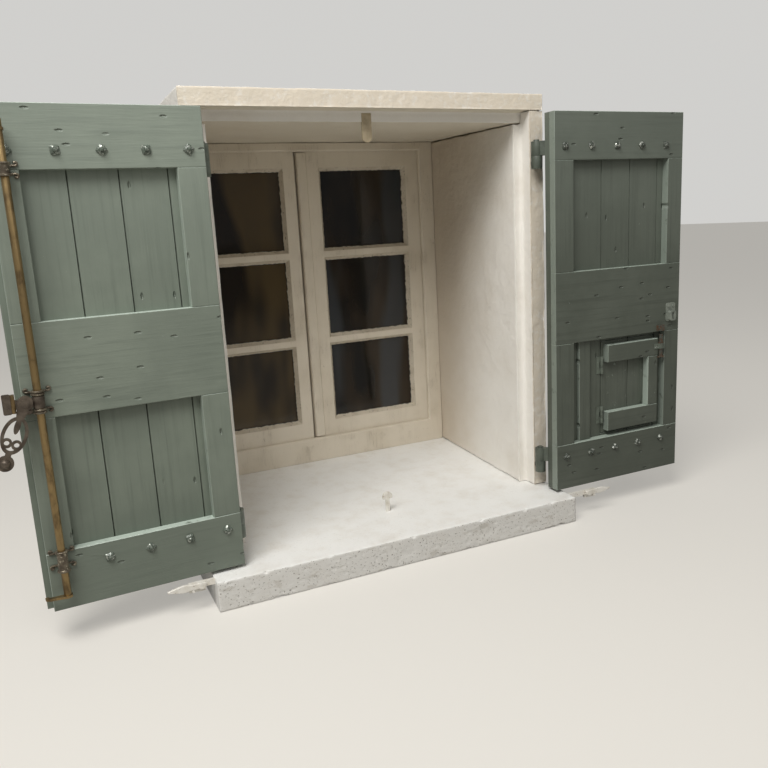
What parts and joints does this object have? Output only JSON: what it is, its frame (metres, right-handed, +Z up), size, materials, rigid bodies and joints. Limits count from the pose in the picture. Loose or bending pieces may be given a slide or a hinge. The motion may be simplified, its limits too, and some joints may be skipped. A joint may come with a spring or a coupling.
{
  "type": "window shutters",
  "caption": "Pair of painted board shutters on wall gudgeons, with rod bolt, small hatch, hold-backs, sloping sill, white reveal and an inward-opening casement window.",
  "frame": {"origin": "underside of the sill, in the plane of the wall face, midway between the jambs", "axes": "+X to the right along the wall seen from outside, +Y into the wall, +Z up"},
  "size_m": [1.6713, 0.7009, 1.068],
  "materials": {
    "shutter_paint": "brushed matt paint over wood, worn",
    "shutter_paint_shaded": "brushed matt paint over wood, worn",
    "painted_iron": "painted over, satin",
    "gilt_rod": "rubbed gilt paint",
    "brown_iron": "bare brown iron",
    "rusty_iron": "rusted",
    "white_iron": "white paint, chipped",
    "window_paint": "satin cream paint, worn",
    "glass": "clear, dark behind",
    "reveal_plaster": "limewashed plaster",
    "sill_concrete": "whitewashed, pitted"
  },
  "bodies": {
    "frame": {"sill": "sill_concrete", "left_jamb": "reveal_plaster", "right_jamb": "reveal_plaster", "head_lining": "reveal_plaster", "window_frame": "window_paint", "casement_hinge_bases": "white_iron", "left_gudgeons": "painted_iron", "right_gudgeons": "painted_iron", "sill_catch": "white_iron", "head_catch": "white_iron", "left_holdback_bar": "white_iron", "right_holdback_bar": "white_iron"},
    "left_leaf": {"left_boards": "shutter_paint", "left_bottom_rail": "shutter_paint", "left_mid_rail": "shutter_paint", "left_top_rail": "shutter_paint", "left_hinge_stiles": "shutter_paint", "left_free_stiles": "shutter_paint", "left_straps": "painted_iron", "left_nails": "painted_iron", "rod_guide_top": "brown_iron", "rod_guide_mid": "brown_iron", "rod_guide_bottom": "brown_iron"},
    "right_leaf": {"right_boards": "shutter_paint_shaded", "right_bottom_rail": "shutter_paint_shaded", "right_mid_rail": "shutter_paint_shaded", "right_top_rail": "shutter_paint_shaded", "right_hinge_stiles": "shutter_paint_shaded", "right_free_stiles": "shutter_paint_shaded", "right_straps": "painted_iron", "right_nails": "painted_iron", "raised_strip": "shutter_paint_shaded", "handle_keeper": "brown_iron", "hatch_staple": "rusty_iron", "hatch_hinge_bases": "painted_iron"},
    "bolt_rod": {"bolt_rod": "gilt_rod", "rod_hooks": "gilt_rod", "rod_lug": "brown_iron", "lug_roller": "gilt_rod", "lug_plate": "brown_iron"},
    "handle": {"handle": "brown_iron"},
    "hatch": {"hatch_boards": "shutter_paint_shaded", "hatch_top_batten": "shutter_paint_shaded", "hatch_bottom_batten": "shutter_paint_shaded", "hatch_side_batten": "shutter_paint_shaded", "hatch_hinge_leaves": "painted_iron", "hatch_bolt_guide": "painted_iron"},
    "hatch_bolt": {"hatch_bolt": "rusty_iron"},
    "left_holdback": {"left_holdback_arm": "white_iron"},
    "right_holdback": {"right_holdback_arm": "white_iron"},
    "left_casement": {"left_casement_frame": "window_paint", "left_casement_glass": "glass", "left_casement_hinges": "white_iron"},
    "right_casement": {"right_casement_frame": "window_paint", "right_casement_glass": "glass", "right_casement_hinges": "white_iron", "meeting_strip": "window_paint"}
  },
  "joints": [
    {"name": "left_leaf_hinge", "type": "hinge", "parent": "frame", "child": "left_leaf", "pos_m": [-0.405, -0.02, 0.5], "axis": [0, 0, 1], "range_deg": [0, 177.5]},
    {"name": "right_leaf_hinge", "type": "hinge", "parent": "frame", "child": "right_leaf", "pos_m": [0.405, -0.02, 0.5], "axis": [0, 0, -1], "range_deg": [0, 180]},
    {"name": "bolt_rod_turn", "type": "hinge", "parent": "left_leaf", "child": "bolt_rod", "pos_m": [-0.76625, -0.11385, 0.5], "axis": [0, 0, 1], "range_deg": [0, 100]},
    {"name": "handle_pivot", "type": "hinge", "parent": "bolt_rod", "child": "handle", "pos_m": [-0.78892, -0.12184, 0.497], "axis": [-0.0436, 0.999, 0], "range_deg": [0, 80]},
    {"name": "hatch_hinge", "type": "hinge", "parent": "right_leaf", "child": "hatch", "pos_m": [0.5725, -0.0625, 0.324], "axis": [0, 0, -1], "range_deg": [0, 105]},
    {"name": "hatch_bolt_slide", "type": "slide", "parent": "hatch", "child": "hatch_bolt", "axis": [0, 0, 1], "range_m": [0, 0.018]},
    {"name": "left_holdback_pivot", "type": "hinge", "parent": "frame", "child": "left_holdback", "pos_m": [-0.512, -0.097, 0.06], "axis": [0, 1, 0], "range_deg": [0, 100]},
    {"name": "right_holdback_pivot", "type": "hinge", "parent": "frame", "child": "right_holdback", "pos_m": [0.5, -0.097, 0.06], "axis": [0, -1, 0], "range_deg": [0, 100]},
    {"name": "left_casement_hinge", "type": "hinge", "parent": "frame", "child": "left_casement", "pos_m": [-0.39, 0.559, 0.5], "axis": [0, 0, 1], "range_deg": [0, 95]},
    {"name": "right_casement_hinge", "type": "hinge", "parent": "frame", "child": "right_casement", "pos_m": [0.366, 0.559, 0.5], "axis": [0, 0, -1], "range_deg": [0, 95]}
  ]
}
